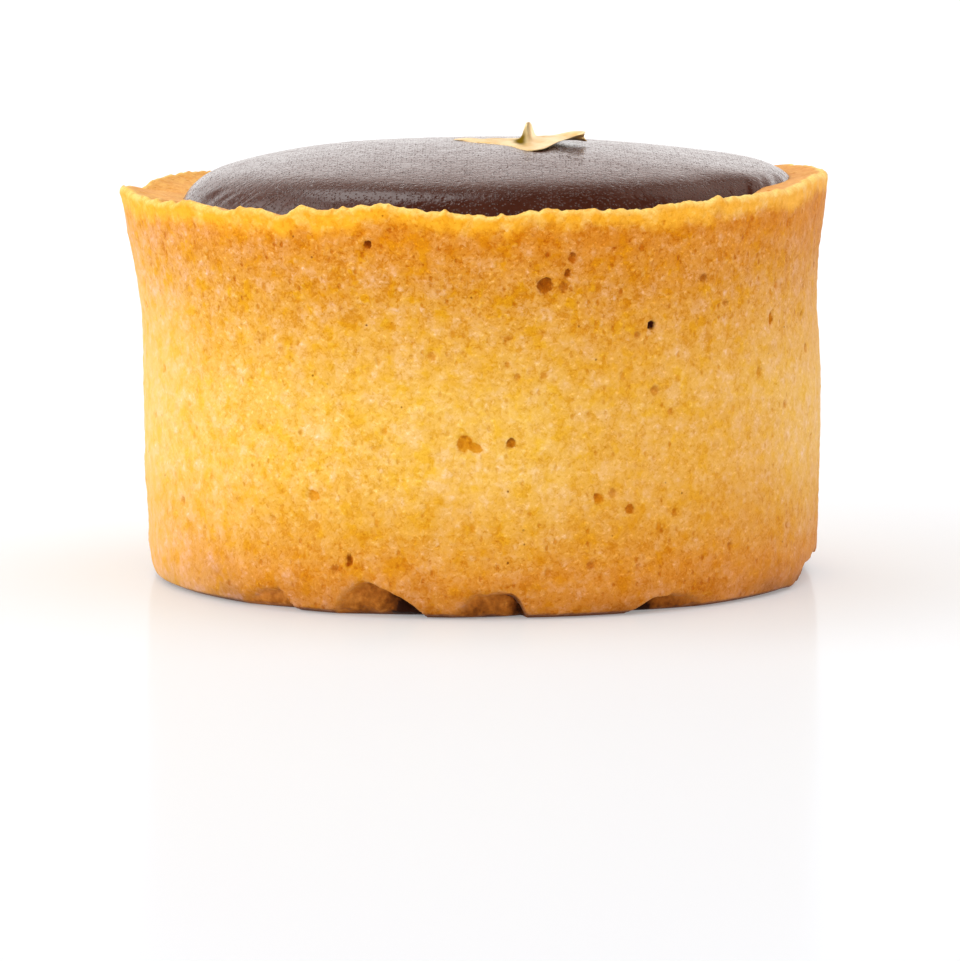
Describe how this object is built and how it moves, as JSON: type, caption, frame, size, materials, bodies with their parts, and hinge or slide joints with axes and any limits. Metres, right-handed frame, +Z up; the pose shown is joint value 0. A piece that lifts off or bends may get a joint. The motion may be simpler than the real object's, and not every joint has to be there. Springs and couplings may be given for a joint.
{
  "type": "caramel tartlet",
  "caption": "Tall round sweet-pastry tartlet: a porous golden crust cup with a flared, uneven rim, filled to a low dome with dark satin glaze, with a crumpled flake of gold leaf on top.",
  "frame": {"origin": "on the surface the tartlet stands on, under the middle of the rim", "axes": "+Z up, -Y towards the front that the picture shows, +X to the right of that front"},
  "size_m": [0.0626, 0.0626, 0.0402],
  "materials": {
    "baked_crust": "baked sweet pastry, matt, grainy and porous, golden with browner edges",
    "dark_glaze": "dark brown satin glaze with a fine grain",
    "gold_leaf": "crumpled gold leaf, bright"
  },
  "bodies": {
    "root": {"crust": "baked_crust", "filling": "dark_glaze", "gold_leaf": "gold_leaf"}
  },
  "joints": []
}
